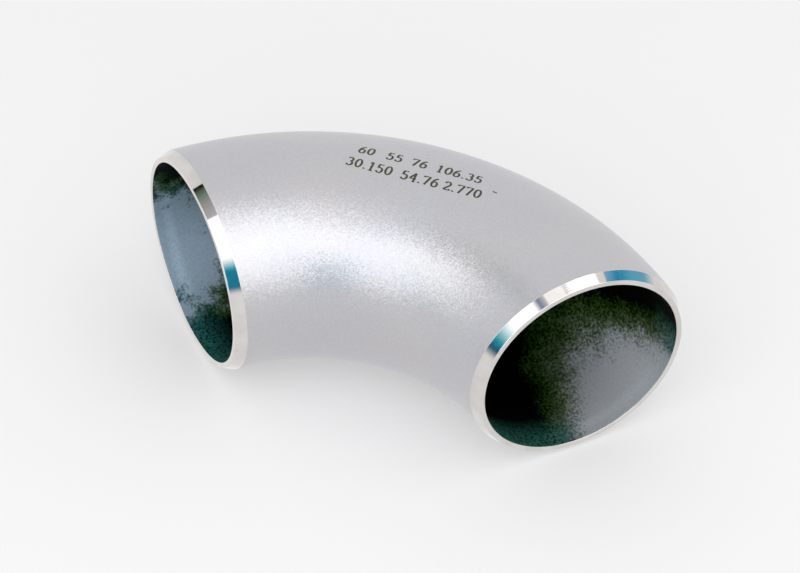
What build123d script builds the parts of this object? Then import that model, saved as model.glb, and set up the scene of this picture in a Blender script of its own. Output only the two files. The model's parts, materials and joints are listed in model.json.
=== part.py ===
"""Long-radius 90 degree butt-weld pipe elbow, nominal pipe size 2 (DN 50), schedule 10S.

One seamless stainless tube bend. It lies flat, with its bend plane horizontal.
The origin is the centre of the inlet's weld face. The inlet opens towards -Y and the outlet
towards +X, so a flow enters along +Y and leaves along +X. All sizes are in millimetres.
"""

from build123d import *
import math
import os

# ---- driving dimensions -------------------------------------------------------------
outside_diameter = 60.3      # nominal pipe size 2
wall_thickness = 2.77        # schedule 10S
bend_radius = 76.2           # long radius: one and a half times the nominal size of 50.8
bend_angle = 90.0

root_face_width = 1.4        # flat land left at each end for the root of the weld
bevel_from_axis = 24.0       # slope of the weld bevel, measured from the pipe's axis

trued_bore_diameter = 55.0   # each mouth is machined round, so that it lines up with the pipe
trued_bore_depth = 3.0

steel_density = 8.0e-6       # kg per cubic millimetre, austenitic stainless

# ---- sizes worked out from them -----------------------------------------------------
outer_radius = outside_diameter / 2
inner_radius = outer_radius - wall_thickness
trued_radius = trued_bore_diameter / 2
land_outer_radius = trued_radius + root_face_width
bevel_length = (outer_radius - land_outer_radius) / math.tan(math.radians(bevel_from_axis))
cutter_margin = 2.0          # how far each cutting tool overshoots the steel

# Each end is a plane whose origin is the centre of the weld face and whose Z points out of
# the mouth. The bend turns about a vertical axis through (bend_radius, 0, 0).
bend_axis = Axis((bend_radius, 0, 0), (0, 0, -1))
inlet_end = Plane(origin=(0, 0, 0), x_dir=(1, 0, 0), z_dir=(0, -1, 0))
outlet_end = Plane(origin=(bend_radius, bend_radius, 0), x_dir=(0, -1, 0), z_dir=(1, 0, 0))


def bent_tube():
    """The tube's ring section, swung round the bend axis through the bend angle."""
    ring = Circle(outer_radius) - Circle(inner_radius)
    return revolve(inlet_end * ring, axis=bend_axis, revolution_arc=bend_angle)


def bevel_cutter():
    """Ring that turns the weld bevel. It lies outside the bevel's cone, around the Z axis.

    The cone meets the weld face, at height 0, on the land's outer edge, and widens inwards.
    """
    slope = math.tan(math.radians(bevel_from_axis))
    reach = outer_radius + cutter_margin
    depth = (reach - land_outer_radius) / slope
    profile = Polyline(
        (land_outer_radius - cutter_margin * slope, cutter_margin),
        (reach, cutter_margin),
        (reach, -depth),
        close=True,
    )
    return revolve(Plane.XZ * make_face(profile), axis=Axis.Z)


def mouth_cutter():
    """Plug that trues the mouth round. It reaches trued_bore_depth into the tube."""
    height = trued_bore_depth + cutter_margin
    plug = Cylinder(trued_radius, height, align=(Align.CENTER, Align.CENTER, Align.MAX))
    return Pos(0, 0, cutter_margin) * plug


def elbow_body():
    """The finished elbow: the bent tube with both ends trued and bevelled for welding."""
    body = bent_tube()
    for end in (inlet_end, outlet_end):
        body -= end * mouth_cutter()
        body -= end * bevel_cutter()
    return body.solid()


def main():
    os.makedirs("parts", exist_ok=True)
    body = elbow_body()
    body.label = "elbow_body"
    export_step(body, "parts/elbow_body.step")
    section = math.pi * (outer_radius**2 - inner_radius**2)
    centre_line = bend_radius * math.radians(bend_angle)
    print(f"inside diameter {2 * inner_radius:.2f}, bevel length {bevel_length:.2f}")
    print(f"plain tube volume {section * centre_line:.0f}, finished volume {body.volume:.0f}")
    print(f"mass {body.volume * steel_density:.3f} kg")


main()
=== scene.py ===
# %% [markdown]
# # A pipe elbow, ready to be welded
# The real object is one seamless piece of stainless pipe, bent through a quarter turn. Its
# outside is pickled to an even satin grey. Both ends are cut square on a lathe and bevelled, so
# they shine like a mirror, and the bore is left dull. The CAD model holds its exact size. This
# script keeps that size and gives the steel its finishes, its number mark and a small studio.

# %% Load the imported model
import json
import math

import bmesh
import bpy
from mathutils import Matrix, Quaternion, Vector, geometry, noise


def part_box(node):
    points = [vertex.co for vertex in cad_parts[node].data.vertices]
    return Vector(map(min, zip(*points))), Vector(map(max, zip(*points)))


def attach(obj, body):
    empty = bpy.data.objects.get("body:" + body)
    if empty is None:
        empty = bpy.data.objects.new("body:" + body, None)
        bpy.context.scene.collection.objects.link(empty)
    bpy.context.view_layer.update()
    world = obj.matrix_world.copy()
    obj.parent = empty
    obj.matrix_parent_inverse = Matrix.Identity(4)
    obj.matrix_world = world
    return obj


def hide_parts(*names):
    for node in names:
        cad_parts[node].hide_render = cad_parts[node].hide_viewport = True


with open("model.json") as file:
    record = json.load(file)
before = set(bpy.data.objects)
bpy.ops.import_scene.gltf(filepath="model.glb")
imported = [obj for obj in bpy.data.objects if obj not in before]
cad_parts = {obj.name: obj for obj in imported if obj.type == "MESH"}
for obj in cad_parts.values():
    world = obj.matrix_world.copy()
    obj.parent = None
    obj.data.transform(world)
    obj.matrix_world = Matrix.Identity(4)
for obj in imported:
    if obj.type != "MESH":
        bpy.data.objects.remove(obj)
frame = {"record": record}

scene = bpy.context.scene
scene.view_settings.view_transform = "Standard"
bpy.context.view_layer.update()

# %% [markdown]
# ## Sizes
# Blender works in metres here, but a pipe is easier to think about in millimetres, so every
# length is written in millimetres and turned to metres only when a mesh is made. The big sizes
# are read from the CAD model: the bend's radius is where the outlet's face stands along X, and
# the pipe's radius is half of the model's height. The bore's true mouth comes from its mount.

# %% Sizes read from the model, in millimetres
MM = 0.001
body_low, body_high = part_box("elbow_body")
bend_radius = body_high.x / MM
pipe_radius = body_high.z / MM
mouth = next(m for m in frame["record"]["mounts"] if m["name"] == "inlet_bore")
mouth_radius = mouth["dims"]["r_mm"]
mouth_depth = mouth["dims"]["length_mm"]
print("bend radius", round(bend_radius, 2), "and pipe radius", round(pipe_radius, 2))
print("mouth radius", mouth_radius, "and depth", mouth_depth)

# %% The wall and the weld end
wall = 2.77
bore_radius = pipe_radius - wall
land_width = 1.4
land_radius = mouth_radius + land_width
bevel_angle = 24.0
bevel_slope = math.tan(math.radians(bevel_angle))
print("bore radius", round(bore_radius, 2), "and outer edge of the land", land_radius)

# %% [markdown]
# ## Directions
# The camera, the lamps and the cards all stand around the elbow and face it, so each is placed
# by a compass direction, a height above the horizon and a distance. One function turns the
# first two into an arrow, and one stands an object there so that it looks at the elbow. All of
# them look at one place, a little inside the bend.

# %% Standing things around the elbow
aim = Vector((30.5, 46.25, 0.0)) * MM


def direction(azimuth, elevation):
    """Arrow away from the elbow. Azimuth 0 points along -Y and 90 along +X, in degrees."""
    a = math.radians(azimuth)
    e = math.radians(elevation)
    return Vector((math.sin(a) * math.cos(e), -math.cos(a) * math.cos(e), math.sin(e)))


def stand_facing(thing, azimuth, elevation, distance, lean=0.0):
    """Puts an object there, with its -Z axis towards the elbow. lean turns it about that axis."""
    scene.collection.objects.link(thing)
    arrow = direction(azimuth, elevation)
    thing.location = aim + arrow * distance * MM
    thing.rotation_mode = "QUATERNION"
    level = (-arrow).to_track_quat("-Z", "Y")
    thing.rotation_quaternion = level @ Quaternion((0, 0, 1), math.radians(lean))


print("azimuth 90 on the horizon is the arrow", [round(v, 2) for v in direction(90, 0)])

# %% [markdown]
# ## Camera
# A long lens from well away keeps both round mouths looking like true ellipses, as a catalogue
# shows a part. The camera looks down at about 45 degrees, over the outlet, and is turned about
# its own axis by one degree, as a hand-held camera is.

# %% Camera
camera = bpy.data.objects.new("camera", bpy.data.cameras.new("camera"))
stand_facing(camera, azimuth=64.3, elevation=44.8, distance=883, lean=1.0)
camera.data.lens = 151.9
camera.data.clip_start = 0.01
camera.data.clip_end = 50
scene.camera = camera
print("the camera stands at", [round(v / MM) for v in camera.location], "mm")

# %% [markdown]
# ## The shape of the bend
# A bend could be made with a curve and a bevel, or with the Spin tool. Here each point is
# worked out by a formula, because that keeps the two ends exact: a point on the pipe is given
# by how far it is round the bend and how far it is round the pipe. The outlet end is the mirror
# image of the inlet end, so it is made once and mirrored. Hot bending leaves very slow waves in
# the wall, which bend the highlights a little, and they are added here.

# %% Places on the bent pipe
WAVE_SIZE = 26.0
WAVE_HEIGHT = 0.06
WAVE_FADE = 16.0


def on_bend(radius, turn, around):
    """A point that far from the pipe's bent centre line, in millimetres.

    turn goes from 0 at the inlet to a quarter turn at the outlet. around goes round the pipe: 0
    on the outside of the bend, a quarter turn on top. Both are in radians.
    """
    reach = bend_radius + radius * math.cos(around)
    return Vector(
        (
            bend_radius - reach * math.cos(turn),
            reach * math.sin(turn),
            radius * math.sin(around),
        )
    )


def outward(turn, around):
    """The direction straight out of the pipe's wall at that place."""
    return on_bend(1, turn, around) - on_bend(0, turn, around)


def wave(place):
    """Height of the slow waves at a place, in millimetres. They fade out at the ends."""
    from_inlet = place.y
    from_outlet = bend_radius - place.x
    near = min(max(min(from_inlet, from_outlet) / WAVE_FADE, 0.0), 1.0)
    return WAVE_HEIGHT * near * near * (3 - 2 * near) * noise.noise(place / WAVE_SIZE)


def at_outlet(place):
    """The same place on the other end: the mirror image across the middle of the bend."""
    return Vector((bend_radius - place.y, bend_radius - place.x, place.z))


print("middle of the bend, on top:", on_bend(pipe_radius, math.pi / 4, math.pi / 2))

# %% [markdown]
# ## The machined end
# A lathe cuts three faces on each end: a flat land, a bevel outside it where the weld metal
# will go, and a true round mouth inside. No machined edge is perfectly sharp, and the thin
# bright line that you see along one is light caught by its tiny rounding. So each corner of
# this outline is rounded, with a close row of points on both sides to hold it. A Bevel modifier
# could round them too, but each corner here has its own radius, and the finish has to change at
# exact places: the outline says which finish follows each of its points. The mouth is as dull
# as the bore, and the land and the bevel are turned.

# %% Outline of the machined end
PICKLED, TURNED, BORE = range(3)
MOUTH_EDGE = 0.12
LAND_EDGE = 0.10
BEVEL_EDGE = 0.16
EDGE_STEPS = 3
HOLD = 0.14
DEEPEST_BEVEL = 10.0
HALVINGS = 40
BEVEL_RUN_OUT = 0.5
MOUTH_RUN_OUT = 1.2


def rounded(corners):
    """Rounds an outline's corners (radius, depth, rounding, finish). Gives (point, finish)s."""
    line = []
    for before, here, after in zip([None] + corners, corners, corners[1:] + [None]):
        spot = Vector(here[:2])
        finish = here[3]
        if not here[2]:
            line.append((spot, finish))
            continue
        back = (Vector(before[:2]) - spot).normalized()
        ahead = (Vector(after[:2]) - spot).normalized()
        half_turn = (math.pi - back.angle(ahead)) / 2
        reach = here[2] * math.tan(half_turn)
        middle = spot + (back + ahead).normalized() * here[2] / math.cos(half_turn)
        first = spot + back * reach
        last = spot + ahead * reach
        line.append((first + back * HOLD, before[3]))
        for step in range(EDGE_STEPS + 1):
            straight = first.lerp(last, step / EDGE_STEPS)
            on_arc = middle + (straight - middle).normalized() * here[2]
            line.append((on_arc, TURNED if step < EDGE_STEPS else finish))
        line.append((last + ahead * HOLD, finish))
    return line


def end_outline(around):
    """Outline of the inlet's end at one place round the pipe, from the bore to the outside.

    It gives the outline, and the depth at which the plain bent pipe starts. The bevel is a cone
    and the outside is a bent pipe, so where they meet is found by halving a range of depths.
    """
    reach = bend_radius + pipe_radius * math.cos(around)
    low, high = 0.0, DEEPEST_BEVEL
    for _ in range(HALVINGS):
        depth = (low + high) / 2
        skin = on_bend(pipe_radius, math.asin(depth / reach), around)
        if math.hypot(skin.x, skin.z) > land_radius + depth * bevel_slope:
            low = depth
        else:
            high = depth
    start = depth + BEVEL_RUN_OUT
    skin = on_bend(pipe_radius, math.asin(depth / reach), around)
    deeper = on_bend(pipe_radius, math.asin(start / reach), around)
    edge_radius = math.hypot(skin.x, skin.z)
    corners = [
        (mouth_radius, mouth_depth, 0, BORE),
        (mouth_radius, mouth_depth / 2, 0, BORE),
        (mouth_radius, 0.0, MOUTH_EDGE, TURNED),
        (land_radius, 0.0, LAND_EDGE, TURNED),
        ((land_radius + edge_radius) / 2, depth / 2, 0, TURNED),
        (edge_radius, depth, BEVEL_EDGE, PICKLED),
        (math.hypot(deeper.x, deeper.z), start, 0, PICKLED),
    ]
    return rounded(corners)[:-1], start


outline, start_depth = end_outline(math.pi / 2)
print(len(outline), "points in the end's outline; plain pipe starts", round(start_depth, 2), "mm in")

# %% [markdown]
# ## The elbow's mesh
# The wall is a closed ring of steel, so its mesh is a grid with no open edge: each column runs
# along the outside, round the outlet's end, back through the bore and round the inlet's end.
# The grid is fine enough for the highlights to run smoothly over it. Two maps are laid on it.
# One is in millimetres, round the pipe and along the column, and gives the lathe's grooves their
# direction. The other fits the whole skin into a square, cut along the bottom of the pipe, for
# programs that store a finish as a picture.

# %% Columns of the grid
COLUMNS = 256
OUTSIDE_ROWS = 150
BORE_ROWS = 90


def one_column(around):
    """The wall's section at one place round the pipe, as (place, finish, along) rows.

    finish is that of the face that follows. along is a length in millimetres that grows from
    row to row. On an end it is the same all round the pipe, so its lines are true circles.
    """
    end, start = end_outline(around)
    cosine, sine = math.cos(around), math.sin(around)
    inlet = [Vector((-p.x * cosine, p.y, p.x * sine)) for p, _ in end]
    finish = [f for _, f in end]
    along = [0.0]
    for (here, _), (after, _) in zip(end, end[1:]):
        along.append(along[-1] + (after - here).length)
    column = []
    first_turn = math.asin(start / (bend_radius + pipe_radius * cosine))
    for row in range(OUTSIDE_ROWS + 1):
        turn = first_turn + (math.pi / 2 - 2 * first_turn) * row / OUTSIDE_ROWS
        skin = on_bend(pipe_radius, turn, around)
        place = skin + outward(turn, around) * wave(skin)
        column.append((place, PICKLED, turn * bend_radius))
    for index in reversed(range(len(inlet))):
        follows = finish[index - 1] if index else BORE
        column.append((at_outlet(inlet[index]), follows, along[index]))
    first_turn = math.asin((mouth_depth + MOUTH_RUN_OUT) / (bend_radius + bore_radius * cosine))
    for row in range(BORE_ROWS + 1):
        turn = math.pi / 2 - first_turn - (math.pi / 2 - 2 * first_turn) * row / BORE_ROWS
        skin = on_bend(bore_radius, turn, around)
        place = skin + outward(turn, around) * wave(skin)
        column.append((place, BORE, turn * bend_radius))
    column.extend(zip(inlet, finish, along))
    return column


sample = one_column(math.pi / 2)
print(len(sample), "points in one column")

# %% Bands of the square map
EDGE = 0.01
end_points = len(outline)
# First row, last row, and the lowest and highest place in the square.
BANDS = (
    (0, OUTSIDE_ROWS, 0.01, 0.45),
    (OUTSIDE_ROWS, OUTSIDE_ROWS + end_points, 0.47, 0.59),
    (OUTSIDE_ROWS + end_points, OUTSIDE_ROWS + end_points + BORE_ROWS + 2, 0.61, 0.85),
    (OUTSIDE_ROWS + end_points + BORE_ROWS + 2, len(sample), 0.87, 0.99),
)


def band_of(row):
    """The first and last row, and the lowest and highest place in the square, of a face's band."""
    return next(band for band in BANDS if band[0] <= row < band[1])


print("the bands end at rows", [band[1] for band in BANDS])

# %% Build the grid
def elbow_mesh():
    """The closed grid, with its finishes and its two maps."""
    quarter = COLUMNS // 4
    columns = [one_column(2 * math.pi * (c - quarter) / COLUMNS) for c in range(COLUMNS)]
    rows = len(sample)
    points = [row[0] * MM for column in columns for row in column]
    around_step = 2 * math.pi * pipe_radius / COLUMNS
    faces, finishes, true_map, square_map = [], [], [], []
    for c in range(COLUMNS):
        beside = (c + 1) % COLUMNS
        for r in range(rows):
            after = (r + 1) % rows
            faces.append((c * rows + r, beside * rows + r, beside * rows + after, c * rows + after))
            finishes.append(columns[0][r][1])
            first, last, low, high = band_of(r)
            for column, row, step in ((c, r, 0), (beside, r, 1), (beside, r + 1, 1), (c, r + 1, 0)):
                along = columns[column][row % rows][2]
                true_map.extend(((c + step) * around_step, along))
                across = EDGE + (1 - 2 * EDGE) * (c + step) / COLUMNS
                square_map.extend((across, low + (high - low) * (row - first) / (last - first)))
    mesh = bpy.data.meshes.new("pipe_elbow")
    mesh.from_pydata(points, [], faces)
    mesh.polygons.foreach_set("material_index", finishes)
    mesh.polygons.foreach_set("use_smooth", [True] * len(faces))
    for name, values in (("OFBake", square_map), ("around_and_along", true_map)):
        mesh.uv_layers.new(name=name).uv.foreach_set("vector", values)
    return mesh


elbow = bpy.data.objects.new("pipe_elbow", elbow_mesh())
scene.collection.objects.link(elbow)
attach(elbow, "root")
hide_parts("elbow_body")


def report(thing):
    """Prints how many faces and open edges a mesh has, and the volume that it closes in."""
    check = bmesh.new()
    check.from_mesh(thing.data)
    open_edges = sum(not edge.is_manifold for edge in check.edges)
    volume = check.calc_volume(signed=True) / MM**3
    print(thing.name, len(check.faces), "faces,", open_edges, "open,", round(volume, 2), "mm3")
    check.free()


report(elbow)

# %% [markdown]
# ## The number mark
# Fittings are marked on top with an etching stencil. This one carries only plain numbers: some
# of its own sizes in millimetres. A Text object would need a typeface and would lie flat, so
# each digit is drawn here as a broad pen would draw it: strokes that are thick where they run
# up and thin where they run across, with small serifs. The strokes of a digit are joined into
# one flat shape, which is then laid on the bend as a thin closed film and follows its curve.

# %% Strokes of the digits, in parts of their height
PEN_STEP = 0.14
CURVE_STEP = 20
JOIN_WITHIN = 0.002


def curve(x, y, wide, high, first, last):
    """Points along part of an oval round (x, y). Angles in degrees, anticlockwise from +X."""
    count = max(2, math.ceil(abs(last - first) / CURVE_STEP))
    turns = [math.radians(first + (last - first) * n / count) for n in range(count + 1)]
    return [(x + wide * math.cos(a), y + high * math.sin(a)) for a in turns]


DIGITS = {
    "0": [curve(0.30, 0.50, 0.24, 0.47, 0, 360)],
    "1": [[(0.12, 0.84), (0.32, 0.98)], [(0.32, 0.98), (0.32, 0.0)], [(0.14, 0.0), (0.50, 0.0)]],
    "2": [
        curve(0.29, 0.72, 0.23, 0.25, 165, -35) + [(0.06, 0.05)],
        [(0.04, 0.05), (0.53, 0.05)],
        [(0.53, 0.02), (0.57, 0.17)],
    ],
    "3": [curve(0.27, 0.74, 0.20, 0.23, 150, -90), curve(0.28, 0.27, 0.24, 0.26, 90, -155)],
    "4": [
        [(0.42, 0.98), (0.04, 0.32), (0.58, 0.32)],
        [(0.42, 0.98), (0.42, 0.0)],
        [(0.28, 0.0), (0.56, 0.0)],
    ],
    "5": [[(0.52, 0.96), (0.15, 0.96), (0.12, 0.54)], curve(0.27, 0.31, 0.25, 0.29, 125, -155)],
    "6": [curve(0.30, 0.29, 0.23, 0.28, 0, 360), curve(0.53, 0.30, 0.46, 0.67, 95, 180)],
    "7": [[(0.05, 0.82), (0.06, 0.95), (0.55, 0.95), (0.24, 0.0)]],
    ".": [[(0.12, 0.0), (0.12, 0.12)]],
    "-": [[(0.0, 0.10), (0.38, 0.04)]],
}
DIGIT_STEP = 0.74
POINT_STEP = 0.38


def pen_outline(stroke, thick, thin):
    """Four-sided pieces of one pen stroke. Its width follows how steeply the stroke runs."""
    places = [Vector(stroke[0])]
    for end in stroke[1:]:
        start = places[-1]
        pieces = max(1, math.ceil((Vector(end) - start).length / PEN_STEP))
        places.extend(start.lerp(Vector(end), n / pieces) for n in range(1, pieces + 1))
    sides = []
    for n, place in enumerate(places):
        along = (places[min(n + 1, len(places) - 1)] - places[max(n - 1, 0)]).normalized()
        half = (thin + (thick - thin) * abs(along.y)) / 2
        across = Vector((-along.y, along.x)) * half
        sides.append((place + across, place - across))
    return [(a[0], a[1], b[1], b[0]) for a, b in zip(sides, sides[1:])]


def flat_shape(strokes, thick, thin):
    """One flat shape from overlapping strokes: its points, and triangles that fill it.

    A triangle that no stroke covers is the hole in a 0 or a 6, and is left open.
    """
    points, pieces = [], []
    for stroke in strokes:
        for piece in pen_outline(stroke, thick, thin):
            pieces.append(list(range(len(points), len(points) + 4)))
            points.extend(piece)
    merged = geometry.delaunay_2d_cdt(points, [], pieces, 1, JOIN_WITHIN)
    filled = [face for face, covered_by in zip(merged[2], merged[5]) if covered_by]
    return merged[0], filled


shape_points, shape_faces = flat_shape(DIGITS["5"], 0.16, 0.08)
print("the digit 5 has", len(shape_points), "points and", len(shape_faces), "triangles")

# %% [markdown]
# ## Laying the mark on the bend
# The stencil is laid over the crown of the bend and pressed down, so the lines of numbers stay
# straight as seen from above. A place in a line is given by its distance along the diagonal of
# the bend and its distance across it. A Shrinkwrap modifier could press a flat mark on, but the
# pipe's height there follows exactly from the circle of its section. The film stands a few
# hundredths of a millimetre proud, more than real oxide does, so that it is never lost.

# %% The mark's lines, in millimetres
MARK_HEIGHT = 3.15
STROKE_THICK = 0.6
STROKE_THIN = 0.3
FILM_ABOVE = 0.02
FILM_BELOW = 0.03
# For each line, its place across the diagonal, and where each group of digits starts along it.
MARK_LINES = (
    (25.5, ((36.9, "60"), (44.6, "55"), (51.4, "76"), (58.2, "106.35"))),
    (19.7, ((35.6, "30.150"), (50.6, "54.76"), (62.2, "2.770"))),
    (23.4, ((74.6, "-"),)),
)


def on_skin(along, across, lift):
    """The point above or below the pipe's outside at that place of the mark."""
    x = (along - across) / math.sqrt(2)
    y = (along + across) / math.sqrt(2)
    around = math.acos((math.hypot(x - bend_radius, y) - bend_radius) / pipe_radius)
    turn = math.atan2(y, bend_radius - x)
    skin = on_bend(pipe_radius, turn, around)
    return skin + outward(turn, around) * (wave(skin) + lift)


def film(points, faces, place):
    """Points and faces of a closed film over a flat shape. place(point, lift) lays a point."""
    above = [place(p, FILM_ABOVE) for p in points]
    below = [place(p, -FILM_BELOW) for p in points]
    count = len(points)
    skins = [tuple(f) for f in faces]
    edges = {(f[n], f[(n + 1) % len(f)]) for f in skins for n in range(len(f))}
    walls = [(b, a, a + count, b + count) for a, b in edges if (b, a) not in edges]
    under = [tuple(n + count for n in reversed(f)) for f in skins]
    return above + below, skins + under + sorted(walls)


def number_mark():
    """The whole mark as one mesh."""
    points, faces = [], []
    thick, thin = STROKE_THICK / MARK_HEIGHT, STROKE_THIN / MARK_HEIGHT
    for across, groups in MARK_LINES:
        for along, text in groups:
            for digit in text:
                flat, fill = flat_shape(DIGITS[digit], thick, thin)

                def place(p, lift):
                    up = across + p.y * MARK_HEIGHT
                    return on_skin(along + p.x * MARK_HEIGHT, up, lift) * MM

                more, skins = film(flat, fill, place)
                faces.extend(tuple(n + len(points) for n in f) for f in skins)
                points.extend(more)
                along += (POINT_STEP if digit == "." else DIGIT_STEP) * MARK_HEIGHT
    mesh = bpy.data.meshes.new("number_mark")
    mesh.from_pydata(points, [], faces)
    return mesh


mark = bpy.data.objects.new("number_mark", number_mark())
scene.collection.objects.link(mark)
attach(mark, "root")
report(mark)

# %% [markdown]
# ## Nodes and colours
# Every finish is a small tree of nodes. One helper adds a node, sets its options and joins its
# inputs, so that a material reads from top to bottom. Colours are written as they look on a
# screen, and one function turns them to the linear values that Blender works with. A pattern's
# size is given in millimetres. Blender's noise can be anything from 0 to 1, but it is nearly
# always between 0.3 and 0.7, so a finish spreads that range over its own values.

# %% Helpers for materials
NOISE_LOW = 0.3
NOISE_HIGH = 0.7


def colour(code):
    """A colour such as "C4C2C5" as linear red, green, blue and alpha."""
    parts = [int(code[i : i + 2], 16) / 255 for i in (0, 2, 4)]
    linear = [p / 12.92 if p <= 0.04045 else ((p + 0.055) / 1.055) ** 2.4 for p in parts]
    return (*linear, 1.0)


def add(tree, kind, inputs=None, ramp=None, **options):
    """Adds a node. inputs are {socket: value or output}; ramp is {position: colour code}."""
    made = tree.nodes.new("ShaderNode" + kind)
    for name, value in options.items():
        setattr(made, name, value)
    for socket, value in (inputs or {}).items():
        if isinstance(value, bpy.types.NodeSocket):
            tree.links.new(value, made.inputs[socket])
        else:
            made.inputs[socket].default_value = value
    for index, (position, code) in enumerate((ramp or {}).items()):
        stops = made.color_ramp.elements
        stop = stops[index] if index < 2 else stops.new(position)
        stop.position = position
        stop.color = colour(code)
    return made


def new_material(name):
    """An empty material, and its tree."""
    material = bpy.data.materials.new(name)
    material.use_nodes = True
    material.node_tree.nodes.clear()
    return material, material.node_tree


def per_mm(size):
    """The scale of a noise whose features are that many millimetres across."""
    return 1 / (size * MM)


def give(thing, material):
    """Adds a finish to a thing, and prints how many nodes it took."""
    thing.data.materials.append(material)
    print(material.name, "has", len(material.node_tree.nodes), "nodes")


print("the middle grey 808080 is", round(colour("808080")[0], 3), "in linear light")

# %% [markdown]
# ## Pickled stainless steel
# After bending, the elbow is dipped in acid to take the scale off. That leaves bare stainless
# steel with a fine, even bite: a satin grey with a slightly pebbled skin that breaks up the
# edges of highlights, and a few crystals that sparkle. It is a metal, so its grey is the
# colour of its reflection, and a middling roughness spreads the lamps into soft bands. The
# real grain is about 0.05 mm, too fine to show, so all three patterns are drawn coarser: the
# grain at 0.3 mm, the crystals at 0.4 mm and the pebbles at 0.5 mm. Very broad, faint stains
# turn the grey a little warmer or cooler. A picture of real steel would repeat and show a seam.
# Noise that is worked out from the place in space does neither, so it is used throughout.

# %% Pickled finish
# Sizes and heights are in millimetres.
PEBBLE = 0.5
PEBBLE_HEIGHT = 0.05
GRAIN = 0.3
GRAIN_HEIGHT = 0.02
CRYSTAL = 0.4
CRYSTAL_TILT = 0.12
STAIN = 24.0


def pickled_steel():
    material, tree = new_material("pickled_stainless_steel")
    place = add(tree, "TexCoord").outputs["Object"]
    stain = add(tree, "TexNoise", {"Vector": place, "Scale": per_mm(STAIN), "Detail": 3})
    pebble = add(tree, "TexNoise", {"Vector": place, "Scale": per_mm(PEBBLE), "Detail": 2})
    grain = add(tree, "TexNoise", {"Vector": place, "Scale": per_mm(GRAIN), "Detail": 1})
    crystal = add(tree, "TexVoronoi", {"Vector": place, "Scale": per_mm(CRYSTAL)})
    tint = add(
        tree,
        "ValToRGB",
        {"Fac": pebble.outputs["Fac"]},
        ramp={0.3: "BEBDC0", 0.7: "C5C4C7"},
    )
    wash = add(
        tree,
        "ValToRGB",
        {"Fac": stain.outputs["Fac"]},
        ramp={0.3: "F9FBFF", 0.7: "FFFDFB"},
    )
    base = add(
        tree,
        "Mix",
        {"Factor": 1.0, "A": tint.outputs["Color"], "B": wash.outputs["Color"]},
        data_type="RGBA",
        blend_type="MULTIPLY",
    )
    rough = add(
        tree,
        "MapRange",
        {
            "Value": grain.outputs["Fac"],
            "From Min": NOISE_LOW,
            "From Max": NOISE_HIGH,
            "To Min": 0.32,
            "To Max": 0.37,
        },
    )
    fine = add(
        tree,
        "Bump",
        {"Height": grain.outputs["Fac"], "Strength": 0.6, "Distance": GRAIN_HEIGHT * MM},
    )
    peel = add(
        tree,
        "Bump",
        {
            "Height": pebble.outputs["Fac"],
            "Strength": 1.0,
            "Distance": PEBBLE_HEIGHT * MM,
            "Normal": fine.outputs["Normal"],
        },
    )
    lean = add(
        tree,
        "VectorMath",
        {0: crystal.outputs["Color"], 1: (0.5, 0.5, 0.5)},
        operation="SUBTRACT",
    )
    tilted = add(
        tree,
        "VectorMath",
        {0: lean.outputs["Vector"], 1: (CRYSTAL_TILT,) * 3, 2: peel.outputs["Normal"]},
        operation="MULTIPLY_ADD",
    )
    facet = add(tree, "VectorMath", {0: tilted.outputs["Vector"]}, operation="NORMALIZE")
    steel = add(
        tree,
        "BsdfPrincipled",
        {
            "Base Color": base.outputs["Result"],
            "Metallic": 1.0,
            "Roughness": rough.outputs["Result"],
            "Normal": facet.outputs["Vector"],
        },
    )
    add(tree, "OutputMaterial", {"Surface": steel.outputs["BSDF"]})
    return material


give(elbow, pickled_steel())

# %% [markdown]
# ## Turned stainless steel
# The land and the bevel come straight off the lathe: bright bare metal with fine grooves that
# run round the pipe. Along a groove the steel is a mirror, and across it the light is smeared,
# so the shader is anisotropic, with its direction taken from the map in millimetres. The
# grooves of a finishing cut are about 0.2 mm apart, too fine to show, so they are drawn 0.6 mm
# apart. They are very shallow, and a noise makes them come and go, as they do on real steel.
# Cut into the mesh, they would need far more rows of faces, so they are only a bump.

# %% Turned finish
# Sizes and heights are in millimetres.
GROOVE = 0.6
GROOVE_HEIGHT = 0.01
GROOVE_PATCH = 2.5
SMEAR = 6.0


def turned_steel():
    material, tree = new_material("turned_stainless_steel")
    place = add(tree, "TexCoord").outputs["Object"]
    lengths = add(tree, "UVMap", uv_map="around_and_along")
    split = add(tree, "SeparateXYZ", {"Vector": lengths.outputs["UV"]})
    groove = add(
        tree,
        "Math",
        {0: split.outputs["Y"], 1: 2 * math.pi / GROOVE},
        operation="MULTIPLY",
    )
    height = add(tree, "Math", {0: groove.outputs["Value"]}, operation="SINE")
    uneven = add(tree, "TexNoise", {"Vector": place, "Scale": per_mm(GROOVE_PATCH), "Detail": 1})
    cut = add(
        tree,
        "Math",
        {0: height.outputs["Value"], 1: uneven.outputs["Fac"]},
        operation="MULTIPLY",
    )
    drift = add(tree, "TexNoise", {"Vector": place, "Scale": per_mm(SMEAR), "Detail": 3})
    tint = add(
        tree,
        "ValToRGB",
        {"Fac": drift.outputs["Fac"]},
        ramp={0.35: "CBC7C4", 0.65: "D6D2CF"},
    )
    rough = add(
        tree,
        "MapRange",
        {
            "Value": drift.outputs["Fac"],
            "From Min": NOISE_LOW,
            "From Max": NOISE_HIGH,
            "To Min": 0.055,
            "To Max": 0.09,
        },
    )
    grooves = add(
        tree,
        "Bump",
        {"Height": cut.outputs["Value"], "Strength": 0.12, "Distance": GROOVE_HEIGHT * MM},
    )
    along = add(tree, "Tangent", direction_type="UV_MAP", uv_map="around_and_along")
    steel = add(
        tree,
        "BsdfPrincipled",
        {
            "Base Color": tint.outputs["Color"],
            "Metallic": 1.0,
            "Roughness": rough.outputs["Result"],
            "Anisotropic": 0.5,
            "Anisotropic Rotation": 0.25,
            "Tangent": along.outputs["Tangent"],
            "Normal": grooves.outputs["Normal"],
        },
    )
    add(tree, "OutputMaterial", {"Surface": steel.outputs["BSDF"]})
    return material


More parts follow.
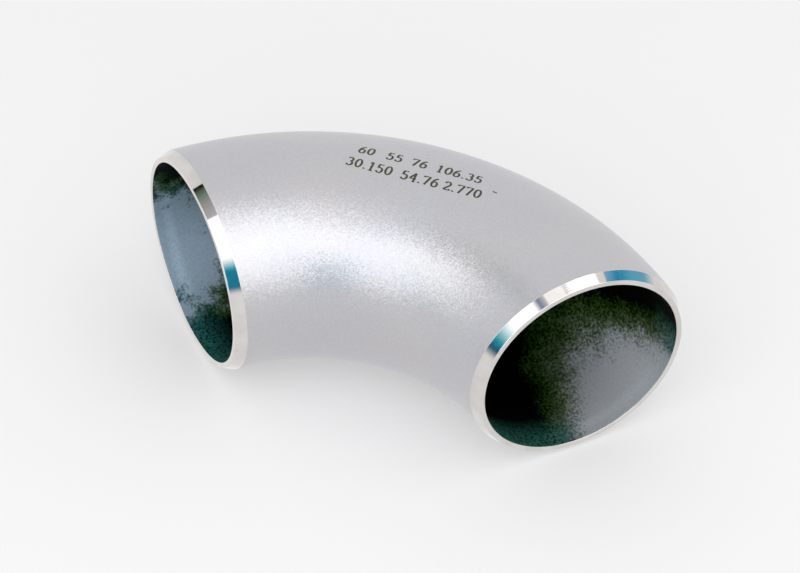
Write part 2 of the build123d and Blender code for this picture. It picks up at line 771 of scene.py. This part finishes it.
give(elbow, turned_steel())

# %% [markdown]
# ## Dull bore
# The bore is a dull metal, so the light that comes in at a mouth fades from wall to wall. That
# light and shade are painted into its colour: a lit grey along one side of the bottom near each
# mouth, lower at the outlet than at the inlet and narrower deeper in, and painted shade, tinted
# teal or green, everywhere else. In the middle of the bend the painted light and shade give way
# to a plain grey.
#
# A picture of the painted light and shade would need a map without seams. Here each place gets a
# score instead, worked out from where it is: how far round the pipe, by a cosine that has no
# seam, and how far from the nearer mouth. Two sizes of noise are added, so the edge of the
# painted shade is ragged. Real specks are about 0.1 mm, too fine to show, so they are drawn at
# 0.7 mm, and the larger noise at 5 mm.

# %% Distances inside the bore, in millimetres
# In the middle of the bend the painted light and shade give way to a plain grey.
MIDDLE_START = 42.0
MIDDLE_FULL = 60.0


def bore_depth(tree, axes):
    """Distance to the nearer mouth, and how far into the plain middle of the bend, from 0 to 1."""
    from_outlet = add(
        tree,
        "Math",
        {0: bend_radius * MM, 1: axes.outputs["X"]},
        operation="SUBTRACT",
    )
    nearest = add(
        tree,
        "Math",
        {0: axes.outputs["Y"], 1: from_outlet.outputs["Value"]},
        operation="MINIMUM",
    )
    middle_of_bend = add(
        tree,
        "MapRange",
        {
            "Value": nearest.outputs["Value"],
            "From Min": MIDDLE_START * MM,
            "From Max": MIDDLE_FULL * MM,
        },
    )
    return nearest.outputs["Value"], middle_of_bend.outputs["Result"]


halfway = bend_radius * math.sin(math.pi / 4)
print("halfway round the bend, the pipe's centre is", round(halfway, 1), "mm from each mouth")

# %% [markdown]
# ## Where the bore is painted lit
# The score is highest on the side where the painted light falls. The middle of that side is given
# in degrees up from the bottom of the pipe, towards the outside of the bend. The score falls with
# depth, and rises again in the middle of the bend. The larger noise swings it widely just inside
# the inlet and little further in. Below one score there is only painted shade, and above another
# there is only painted light.

# %% Score of a place
# Sizes and places are in millimetres, and scores have no unit.
BLOTCH = 0.7
# Size of the larger noise that makes the edge of the painted light ragged.
EDGE_NOISE = 5.0
# Middle of the side that gets painted light, in radians up from the bottom of the pipe.
LIT_SIDE_AT_INLET = math.radians(55)
LIT_SIDE_AT_OUTLET = math.radians(40)
SINKS_OVER = 45.0
SIDE_SCORE = 3.2
# Extra painted light in the middle of the bend.
MIDDLE_SCORE = 2.6
BLOTCH_SCORE = 0.7
# The painted light fades with depth between these millimetres.
FADE_START = 6.0
FADE_FULL = 38.0
FADE_SCORE = 1.08
SWING_START = 6.0
SWING_END = 20.0
WIDE_SWING = 1.8
SMALL_SWING = 0.45
# Below the first score there is only painted shade, and above the second only painted light.
ONLY_PAINTED_SHADE = 2.3
ONLY_PAINTED_LIGHT = 3.2


def lit_side_score(tree, axes, nearest, middle_of_bend):
    """The score without its noise: from the side of the pipe and the depth."""
    fade = add(
        tree,
        "MapRange",
        {
            "Value": nearest,
            "From Min": FADE_START * MM,
            "From Max": FADE_FULL * MM,
            "To Min": 0.0,
            "To Max": -FADE_SCORE,
        },
    )
    inner = add(
        tree,
        "Math",
        {0: middle_of_bend, 1: MIDDLE_SCORE, 2: fade.outputs["Result"]},
        operation="MULTIPLY_ADD",
    )
    lengths = add(tree, "UVMap", uv_map="around_and_along")
    split = add(tree, "SeparateXYZ", {"Vector": lengths.outputs["UV"]})
    middle = add(
        tree,
        "MapRange",
        {
            "Value": axes.outputs["X"],
            "From Max": SINKS_OVER * MM,
            "To Min": -LIT_SIDE_AT_INLET,
            "To Max": -LIT_SIDE_AT_OUTLET,
        },
    )
    turn = add(
        tree,
        "Math",
        {0: split.outputs["X"], 1: 1 / pipe_radius, 2: middle.outputs["Result"]},
        operation="MULTIPLY_ADD",
    )
    facing = add(tree, "Math", {0: turn.outputs["Value"]}, operation="COSINE")
    return add(
        tree,
        "Math",
        {0: facing.outputs["Value"], 1: SIDE_SCORE, 2: inner.outputs["Value"]},
        operation="MULTIPLY_ADD",
    ).outputs["Value"]


def painted_light_share(tree, place, axes, score, blotch):
    """How much painted light a place gets: 0 is only painted shade, and 1 is only painted light."""
    # A larger noise that swings the edge of the painted light.
    run = add(tree, "TexNoise", {"Vector": place, "Scale": per_mm(EDGE_NOISE), "Detail": 1.5})
    ragged = add(tree, "Math", {0: blotch, 1: BLOTCH_SCORE, 2: score}, operation="MULTIPLY_ADD")
    swing = add(
        tree,
        "MapRange",
        {
            "Value": axes.outputs["Y"],
            "From Min": SWING_START * MM,
            "From Max": SWING_END * MM,
            "To Min": WIDE_SWING,
            "To Max": SMALL_SWING,
        },
    )
    either_way = add(tree, "Math", {0: run.outputs["Fac"], 1: 0.5}, operation="SUBTRACT")
    total = add(
        tree,
        "Math",
        {
            0: either_way.outputs["Value"],
            1: swing.outputs["Result"],
            2: ragged.outputs["Value"],
        },
        operation="MULTIPLY_ADD",
    )
    return add(
        tree,
        "MapRange",
        {"Value": total.outputs["Value"], "From Min": ONLY_PAINTED_SHADE, "From Max": ONLY_PAINTED_LIGHT},
    ).outputs["Result"]


# The scores run from only painted shade to only painted light.
print("scores run from film at", ONLY_PAINTED_SHADE, "to bare steel at", ONLY_PAINTED_LIGHT)

# %% [markdown]
# ## Colours of the painted shade
# The dark parts of the bore are painted shade, with a tint. Near a mouth it is teal. Deeper in,
# and under the top of the pipe, the painted shade is deeper: green at its edge and nearly black
# inside. Each of these is a ramp from painted shade to painted light on bare steel, and the
# place decides which ramp counts. Towards the inlet a painted bluer light tints everything a
# little, and the blotches darken the painted shade in specks.

# %% Colours inside the bore
# The first two are depths, and the next two heights, in millimetres.
TEAL_UP_TO = 2.0
GREEN_FROM = 11.0
SHELTER_START = -3.0
SHELTER_FULL = 4.0
# Ramps from painted shade to painted light: the shade is tinted teal near a mouth, and green to
# nearly black deeper in and under the top.
NEAR_MOUTH = {0.0: "4A9788", 0.3: "629E98", 0.55: "80A3A2", 0.9: "E2E7ED"}
DEEP_SHADE = {0.0: "070A04", 0.26: "42681F", 0.55: "80916C", 0.9: "E4E6EC"}
# Plain greys for the middle of the bend, from painted shade to painted light.
MIDDLE_GREYS = {0.0: "3C3E3C", 0.3: "6E706F", 0.9: "C4C6C9"}
# Painted bluer light, strongest at the inlet's end of the bore.
BLUER_LIGHT_AT_INLET = {0.1: "CADFED", 0.9: "FFFFFF"}
# Specks darken the painted shade fully and the painted light only a little.
SPECKS = {0.38: "666C60", 0.58: "FFFFFF"}
SPECKS_IN_SHADE = 1.0
SPECKS_IN_LIGHT = 0.12


def painted_shade_to_light(tree, axes, nearest, painted_light_amount):
    """The colour from painted shade to painted light, outside the middle of the bend."""
    shallow = add(tree, "ValToRGB", {"Fac": painted_light_amount}, ramp=NEAR_MOUTH)
    deep = add(tree, "ValToRGB", {"Fac": painted_light_amount}, ramp=DEEP_SHADE)
    how_deep = add(
        tree,
        "MapRange",
        {"Value": nearest, "From Min": TEAL_UP_TO * MM, "From Max": GREEN_FROM * MM},
    )
    how_high = add(
        tree,
        "MapRange",
        {
            "Value": axes.outputs["Z"],
            "From Min": SHELTER_START * MM,
            "From Max": SHELTER_FULL * MM,
        },
    )
    sheltered = add(
        tree,
        "Math",
        {0: how_deep.outputs["Result"], 1: how_high.outputs["Result"]},
        operation="MAXIMUM",
    )
    return add(
        tree,
        "Mix",
        {
            "Factor": sheltered.outputs["Value"],
            "A": shallow.outputs["Color"],
            "B": deep.outputs["Color"],
        },
        data_type="RGBA",
    ).outputs["Result"]


def bore_colour(tree, axes, nearest, middle_of_bend, painted_light_amount, blotch):
    """The whole colour of the bore, with its painted light and shade."""
    plain = add(tree, "ValToRGB", {"Fac": painted_light_amount}, ramp=MIDDLE_GREYS)
    inside = add(
        tree,
        "Mix",
        {
            "Factor": middle_of_bend,
            "A": painted_shade_to_light(tree, axes, nearest, painted_light_amount),
            "B": plain.outputs["Color"],
        },
        data_type="RGBA",
    )
    # A painted bluer light, fading from the inlet towards the outlet.
    how_far = add(tree, "MapRange", {"Value": axes.outputs["X"], "From Max": bend_radius * MM})
    painted_blue_light = add(tree, "ValToRGB", {"Fac": how_far.outputs["Result"]}, ramp=BLUER_LIGHT_AT_INLET)
    tinted = add(
        tree,
        "Mix",
        {"Factor": 1.0, "A": inside.outputs["Result"], "B": painted_blue_light.outputs["Color"]},
        data_type="RGBA",
        blend_type="MULTIPLY",
    )
    specks = add(tree, "ValToRGB", {"Fac": blotch}, ramp=SPECKS)
    speckled = add(
        tree,
        "MapRange",
        {"Value": painted_light_amount, "To Min": SPECKS_IN_SHADE, "To Max": SPECKS_IN_LIGHT},
    )
    return add(
        tree,
        "Mix",
        {
            "Factor": speckled.outputs["Result"],
            "A": tinted.outputs["Result"],
            "B": specks.outputs["Color"],
        },
        data_type="RGBA",
        blend_type="MULTIPLY",
    ).outputs["Result"]


# The darkest painted shade, deeper in and near a mouth.
print("sheltered film is", DEEP_SHADE[0.0], "and near a mouth it is", NEAR_MOUTH[0.0])

# %% Bore finish
PIT_HEIGHT = 0.06


def bore_steel():
    material, tree = new_material("dull_bore_steel")
    place = add(tree, "TexCoord").outputs["Object"]
    axes = add(tree, "SeparateXYZ", {"Vector": place})
    nearest, middle_of_bend = bore_depth(tree, axes)
    score = lit_side_score(tree, axes, nearest, middle_of_bend)
    blotch = add(
        tree,
        "TexNoise",
        {"Vector": place, "Scale": per_mm(BLOTCH), "Detail": 3},
    ).outputs["Fac"]
    # How much painted light each place gets, from 0 in painted shade to 1.
    painted_light_amount = painted_light_share(tree, place, axes, score, blotch)
    rough = add(
        tree,
        "MapRange",
        {
            "Value": blotch,
            "From Min": NOISE_LOW,
            "From Max": NOISE_HIGH,
            "To Min": 0.64,
            "To Max": 0.54,
        },
    )
    pits = add(tree, "Bump", {"Height": blotch, "Strength": 0.4, "Distance": PIT_HEIGHT * MM})
    steel = add(
        tree,
        "BsdfPrincipled",
        {
            "Base Color": bore_colour(tree, axes, nearest, middle_of_bend, painted_light_amount, blotch),
            "Metallic": 1.0,
            "Roughness": rough.outputs["Result"],
            "Normal": pits.outputs["Normal"],
        },
    )
    add(tree, "OutputMaterial", {"Surface": steel.outputs["BSDF"]})
    return material


give(elbow, bore_steel())

# %% [markdown]
# ## Etched mark
# The etching current leaves a thin dark oxide. It isn't metal, and the pickled grain under it
# shows through as lighter specks, so its olive colour is broken up. It could be a mask on the
# steel, but the mark is a piece of its own, so it simply gets a finish of its own. The specks
# are drawn at 0.35 mm, a little coarser than the grain.

# %% Mark finish
# In millimetres.
SPECK = 0.35
BITE_HEIGHT = 0.03


def etched_oxide():
    material, tree = new_material("etched_dark_oxide")
    place = add(tree, "TexCoord").outputs["Object"]
    speck = add(tree, "TexNoise", {"Vector": place, "Scale": per_mm(SPECK), "Detail": 2})
    tint = add(
        tree,
        "ValToRGB",
        {"Fac": speck.outputs["Fac"]},
        ramp={0.35: "1A1A05", 0.6: "383A1A", 0.75: "707260"},
    )
    rough = add(tree, "MapRange", {"Value": speck.outputs["Fac"], "To Min": 0.5, "To Max": 0.7})
    bite = add(
        tree,
        "Bump",
        {"Height": speck.outputs["Fac"], "Strength": 0.4, "Distance": BITE_HEIGHT * MM},
    )
    oxide = add(
        tree,
        "BsdfPrincipled",
        {
            "Base Color": tint.outputs["Color"],
            "Roughness": rough.outputs["Result"],
            "Normal": bite.outputs["Normal"],
        },
    )
    add(tree, "OutputMaterial", {"Surface": oxide.outputs["BSDF"]})
    return material


give(mark, etched_oxide())

# %% [markdown]
# ## Floor
# The elbow lies on a plain floor of white cloth. It is one large face at the height of the
# pipe's lowest point, wide enough to reach the horizon in a low view. The lamps are small next
# to it, so far away it would look grey. Part of its white is therefore a glow, which shows only
# to a straight look and in reflections. Near the elbow it has a small share of a straight look,
# so the shadow under the pipe stays. Its share grows with distance until it is all of it.

# %% Floor
FLOOR_SIZE = 12000.0
GLOW_START = 300.0
GLOW_FULL = 1100.0
GLOW_STRAIGHT = 0.3
GLOW_MIRRORED = 0.9


def sight(tree, straight=1.0, mirrored=1.0):
    """straight where the camera looks, mirrored in a reflection or clear glass, 0 for light."""
    path = add(tree, "LightPath")
    thrown = add(
        tree,
        "Math",
        {0: path.outputs["Is Glossy Ray"], 1: path.outputs["Is Transmission Ray"]},
        operation="MAXIMUM",
    )
    looked = add(
        tree,
        "Math",
        {0: path.outputs["Is Camera Ray"], 1: straight},
        operation="MULTIPLY",
    )
    return add(
        tree,
        "Math",
        {0: thrown.outputs["Value"], 1: mirrored, 2: looked.outputs["Value"]},
        operation="MULTIPLY_ADD",
    ).outputs["Value"]


half = FLOOR_SIZE / 2 * MM
corners = [(-half, -half), (half, -half), (half, half), (-half, half)]
floor_mesh = bpy.data.meshes.new("floor")
floor_mesh.from_pydata([(x, y, body_low.z) for x, y in corners], [], [(0, 1, 2, 3)])
floor = bpy.data.objects.new("floor", floor_mesh)
scene.collection.objects.link(floor)
material, tree = new_material("white_cloth")
place = add(tree, "TexCoord").outputs["Object"]
away = add(tree, "VectorMath", {0: place, 1: aim}, operation="DISTANCE")
share = add(
    tree,
    "MapRange",
    {
        "Value": away.outputs["Value"],
        "From Min": GLOW_START * MM,
        "From Max": GLOW_FULL * MM,
        "To Min": sight(tree, GLOW_STRAIGHT, GLOW_MIRRORED),
        "To Max": sight(tree),
    },
    interpolation_type="SMOOTHSTEP",
)
cloth = add(
    tree,
    "BsdfPrincipled",
    {"Base Color": colour("DDDDDE"), "Roughness": 0.9, "Specular IOR Level": 0.2},
)
glow = add(tree, "Emission", {"Color": colour("FFFFFF"), "Strength": 1.0})
both = add(
    tree,
    "MixShader",
    {0: share.outputs["Result"], 1: cloth.outputs["BSDF"], 2: glow.outputs["Emission"]},
)
add(tree, "OutputMaterial", {"Surface": both.outputs["Shader"]})
give(floor, material)

# %% [markdown]
# ## World
# The room round the stage is white. Seen straight on, or as a reflection in the steel, it has a
# strength of 1, which is white. The soft light that it throws on dull surfaces is set lower, so
# that the lamps still draw a shadow under the pipe.

# %% World
ROOM_LIGHT = 0.85
world = bpy.data.worlds.new("studio")
scene.world = world
world.use_nodes = True
world.node_tree.nodes.clear()
tree = world.node_tree
strength = add(tree, "MapRange", {"Value": sight(tree), "To Min": ROOM_LIGHT, "To Max": 1.0})
room = add(tree, "Background", {"Color": colour("FFFFFF"), "Strength": strength.outputs["Result"]})
add(tree, "OutputWorld", {"Surface": room.outputs["Background"]})
print("the room lights the elbow at", ROOM_LIGHT, "and looks as bright as 1")

# %% [markdown]
# ## Lamps
# Three large soft lamps and a small one stand round the front of the elbow and over it, and the
# steel shows each as a wide band of light. A lamp is given by where it stands, by how many
# degrees of the sky it fills to each side of its middle and by how bright it looks next to
# white. Its power follows from that: an even square metre that looks as bright as white gives
# pi watts. A lamp hides nothing, so a reflection adds the white room behind it to its light.

# %% Lamps
LAMP_DISTANCE = 1000.0
# Name, azimuth, elevation, half of its width and of its height in degrees, and brightness.
LAMPS = (
    ("key_lamp", 26, 38, 29, 28, 1.05),
    ("side_lamp", 94, 27, 30, 19, 0.88),
    ("overhead_lamp", 117, 60, 26, 18, 0.95),
    ("top_lamp", 50, 75, 9, 8, 0.5),
)
for name, azimuth, elevation, half_width, half_height, brightness in LAMPS:
    lamp = bpy.data.lights.new(name, "AREA")
    lamp.shape = "RECTANGLE"
    lamp.size = 2 * LAMP_DISTANCE * MM * math.tan(math.radians(half_width))
    lamp.size_y = 2 * LAMP_DISTANCE * MM * math.tan(math.radians(half_height))
    lamp.energy = brightness * math.pi * lamp.size * lamp.size_y
    holder = bpy.data.objects.new(name, lamp)
    stand_facing(holder, azimuth, elevation, LAMP_DISTANCE)
    holder.visible_camera = False
    print(name, round(lamp.size, 2), "by", round(lamp.size_y, 2), "m,", round(lamp.energy, 2), "W")

# %% [markdown]
# ## Cards
# A mirror-bright edge in a white room looks like nothing at all. So a studio stands dark and
# coloured cards round such a part, and their reflections draw the edge. Each card is painted in
# a gradient from its low end to its high end, and both ends are feathered, so that its patch
# fades into the white next to it. As the edge curves round the pipe, its reflection runs at a
# slant across the room, and the card leans to follow it. Cards show only in reflections: they
# throw no shadow and the camera doesn't see them.

# %% Cards
CARD_DISTANCE = 800.0
# First its name, azimuth, elevation, half of its width and of its height in degrees, and lean.
# Then the feathered parts of its length at the low and high end, and the paint along it.
CARDS = (
    (
        ("left_card", 10.3, 21, 3.5, 24, -12),
        (0.27, 0.62),
        {0.25: "0A5F7D", 0.36: "0096B8", 0.48: "10BCD0"},
    ),
    (
        ("middle_card", 53.5, 19.5, 6, 20.5, 17),
        (0.22, 0.44),
        {0.12: "007197", 0.26: "0094B4", 0.4: "0090B3", 0.53: "0090B3", 0.66: "10B0CE"},
    ),
    (
        ("right_card", 181, 22.5, 4, 28.5, 17),
        (0.33, 0.05),
        {0.3: "79BBD8", 0.54: "5EBDDC", 0.66: "38A5D0", 0.77: "2C9ED0", 0.9: "7ABBE2"},
    ),
    (
        ("high_card", 30, 64, 5.5, 8, -25),
        (0.6, 0.12),
        {0.5: "7888B2"},
    ),
    (
        ("shade_card", -28.5, 55.8, 4, 18, 110),
        (0.06, 0.03),
        {
            0.08: "CCCCD4",
            0.28: "C1C1C2",
            0.47: "ADABA7",
            0.67: "7C9B8C",
            0.83: "616C59",
            0.92: "041C14",
        },
    ),
)


def graded_card(name, feathered, painted):
    """Paint along a card's length, clear where its low and high ends are feathered."""
    low_end, high_end = feathered
    material, tree = new_material(name)
    place = add(tree, "TexCoord").outputs["Generated"]
    along = add(tree, "SeparateXYZ", {"Vector": place}).outputs["Y"]
    rise = add(
        tree,
        "MapRange",
        {"Value": along, "From Max": low_end},
        interpolation_type="SMOOTHSTEP",
    )
    fall = add(
        tree,
        "MapRange",
        {"Value": along, "From Min": 1 - high_end, "To Min": 1.0, "To Max": 0.0},
        interpolation_type="SMOOTHSTEP",
    )
    cover = add(
        tree,
        "Math",
        {0: rise.outputs["Result"], 1: fall.outputs["Result"]},
        operation="MULTIPLY",
    )
    paint = add(tree, "ValToRGB", {"Fac": along}, ramp=painted)
    shown = add(tree, "Emission", {"Color": paint.outputs["Color"], "Strength": 1.0})
    clear = add(tree, "BsdfTransparent", {"Color": colour("FFFFFF")})
    both = add(
        tree,
        "MixShader",
        {0: cover.outputs["Value"], 1: clear.outputs["BSDF"], 2: shown.outputs["Emission"]},
    )
    add(tree, "OutputMaterial", {"Surface": both.outputs["Shader"]})
    return material


for placed, feathered, painted in CARDS:
    name, azimuth, elevation, half_width, half_height, lean = placed
    x = CARD_DISTANCE * MM * math.tan(math.radians(half_width))
    y = CARD_DISTANCE * MM * math.tan(math.radians(half_height))
    card_mesh = bpy.data.meshes.new(name)
    card_mesh.from_pydata([(-x, -y, 0), (x, -y, 0), (x, y, 0), (-x, y, 0)], [], [(0, 1, 2, 3)])
    card = bpy.data.objects.new(name, card_mesh)
    stand_facing(card, azimuth, elevation, CARD_DISTANCE, lean)
    card.visible_camera = False
    card.visible_diffuse = False
    card.visible_shadow = False
    give(card, graded_card(name, feathered, painted))
    print(name, "is", round(2 * x, 2), "by", round(2 * y, 2), "m")
